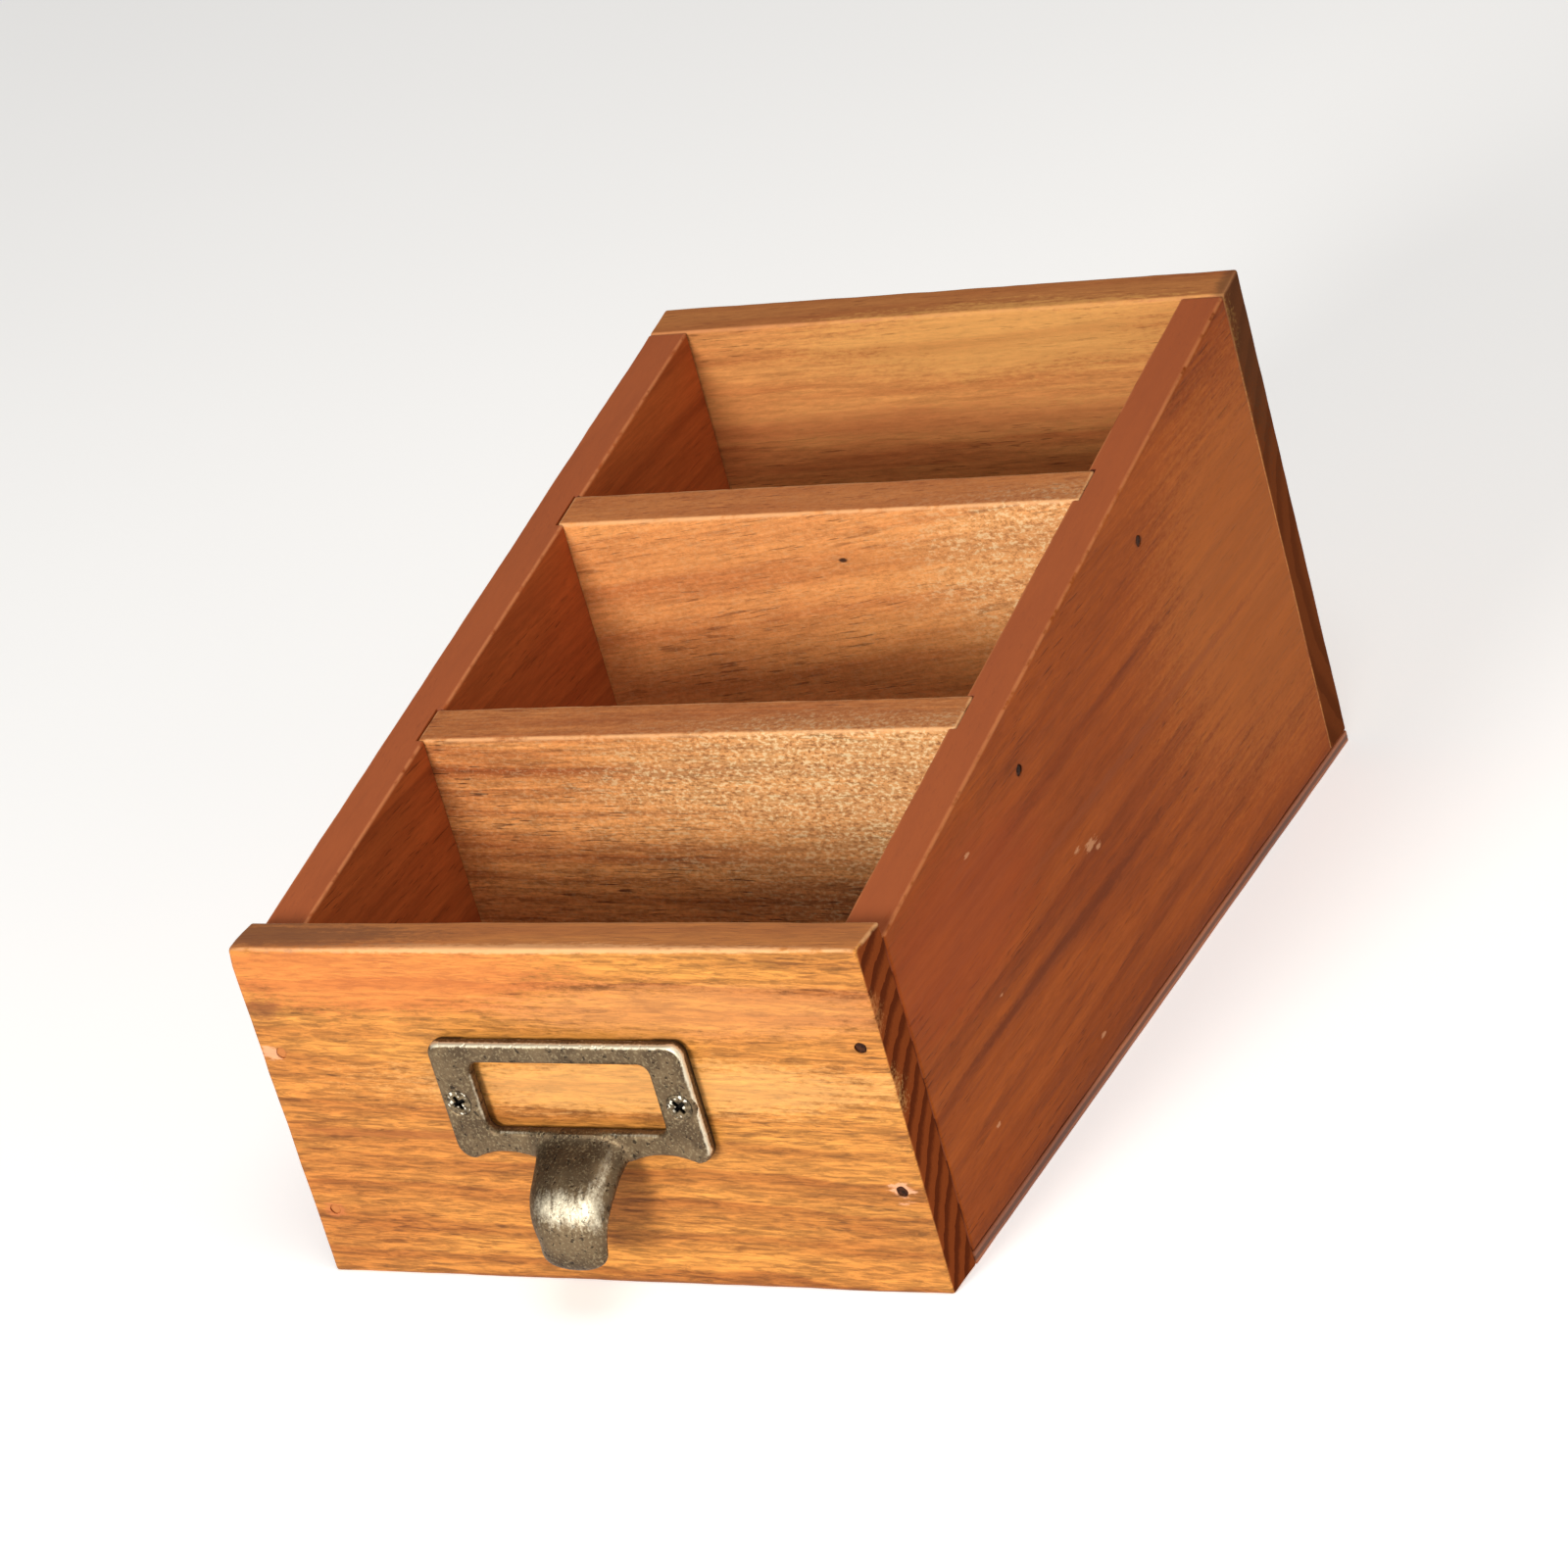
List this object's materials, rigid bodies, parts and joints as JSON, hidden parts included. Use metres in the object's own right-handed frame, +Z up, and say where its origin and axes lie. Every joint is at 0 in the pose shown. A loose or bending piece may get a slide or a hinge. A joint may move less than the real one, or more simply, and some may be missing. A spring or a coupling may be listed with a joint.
{
  "type": "compartmented card box",
  "caption": "Small stained-pine desk box with a sloping open top, two cross dividers making three compartments, and an aged-bronze label-holder finger pull on its front.",
  "frame": {"origin": "centre of the wooden box's underside", "axes": "+X to the right as seen from the front, +Y from the front panel towards the back, +Z up"},
  "size_m": [0.15, 0.2484, 0.121],
  "materials": {
    "front_pine": "wax-stained, open grain, satin",
    "body_pine": "wax-stained, open grain, satin",
    "divider_pine": "wax-stained, open grain, satin",
    "bottom_plywood": "stained thin plywood, matt",
    "aged_bronze": "dark antique patina, worn bright on the hook and along the edges",
    "screw_steel": "dull zinc plate",
    "nail_steel": "dull, darkened"
  },
  "bodies": {
    "root": {"front_panel": "front_pine", "back_panel": "body_pine", "left_side": "body_pine", "right_side": "body_pine", "bottom_panel": "bottom_plywood", "front_divider": "divider_pine", "rear_divider": "divider_pine", "label_pull": "aged_bronze", "pull_screws": "screw_steel", "front_panel_nails": "nail_steel", "back_panel_nails": "nail_steel", "divider_nails": "nail_steel", "bottom_nails": "nail_steel"}
  },
  "joints": []
}
